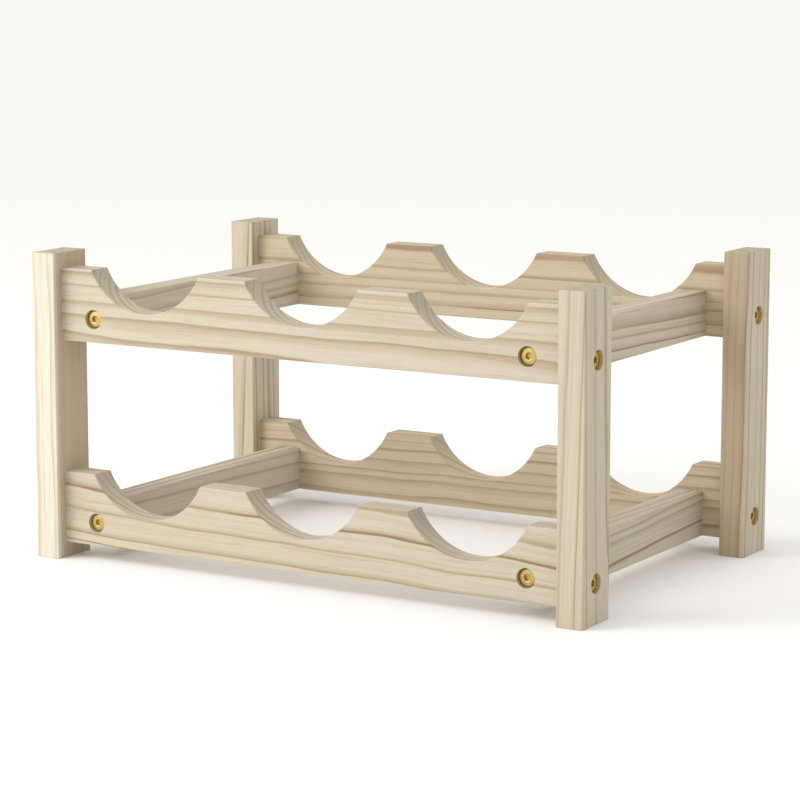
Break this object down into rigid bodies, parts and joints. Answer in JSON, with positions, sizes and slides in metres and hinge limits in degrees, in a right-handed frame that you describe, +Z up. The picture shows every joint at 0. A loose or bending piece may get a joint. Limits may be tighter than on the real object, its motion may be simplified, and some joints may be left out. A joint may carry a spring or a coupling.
{
  "type": "wine rack",
  "caption": "Free-standing two-tier pine wine rack: posts and side rails hold rails with round cradles, where bottles lie on their sides.",
  "frame": {"origin": "on the floor, under the middle of the rack", "axes": "+X to the right along the cradle rails, -Y to the front, +Z up"},
  "size_m": [0.4, 0.264, 0.2],
  "materials": {
    "pine": "sanded, unfinished",
    "dowel": "turned, unfinished",
    "screw": "satin brass-coloured plating"
  },
  "bodies": {
    "root": {"lower_front_rail": "pine", "lower_left_side_rail": "pine", "lower_rear_rail": "pine", "lower_right_side_rail": "pine", "post_dowel_lower_front_left": "dowel", "post_dowel_lower_front_right": "dowel", "post_dowel_lower_rear_left": "dowel", "post_dowel_lower_rear_right": "dowel", "post_dowel_upper_front_left": "dowel", "post_dowel_upper_front_right": "dowel", "post_dowel_upper_rear_left": "dowel", "post_dowel_upper_rear_right": "dowel", "post_front_left": "pine", "post_front_right": "pine", "post_rear_left": "pine", "post_rear_right": "pine", "post_screw_lower_front_left": "screw", "post_screw_lower_front_right": "screw", "post_screw_lower_rear_left": "screw", "post_screw_lower_rear_right": "screw", "post_screw_upper_front_left": "screw", "post_screw_upper_front_right": "screw", "post_screw_upper_rear_left": "screw", "post_screw_upper_rear_right": "screw", "rail_dowel_lower_front_left": "dowel", "rail_dowel_lower_front_right": "dowel", "rail_dowel_lower_rear_left": "dowel", "rail_dowel_lower_rear_right": "dowel", "rail_dowel_upper_front_left": "dowel", "rail_dowel_upper_front_right": "dowel", "rail_dowel_upper_rear_left": "dowel", "rail_dowel_upper_rear_right": "dowel", "rail_screw_lower_front_left": "screw", "rail_screw_lower_front_right": "screw", "rail_screw_lower_rear_left": "screw", "rail_screw_lower_rear_right": "screw", "rail_screw_upper_front_left": "screw", "rail_screw_upper_front_right": "screw", "rail_screw_upper_rear_left": "screw", "rail_screw_upper_rear_right": "screw", "upper_front_rail": "pine", "upper_left_side_rail": "pine", "upper_rear_rail": "pine", "upper_right_side_rail": "pine"}
  },
  "joints": []
}
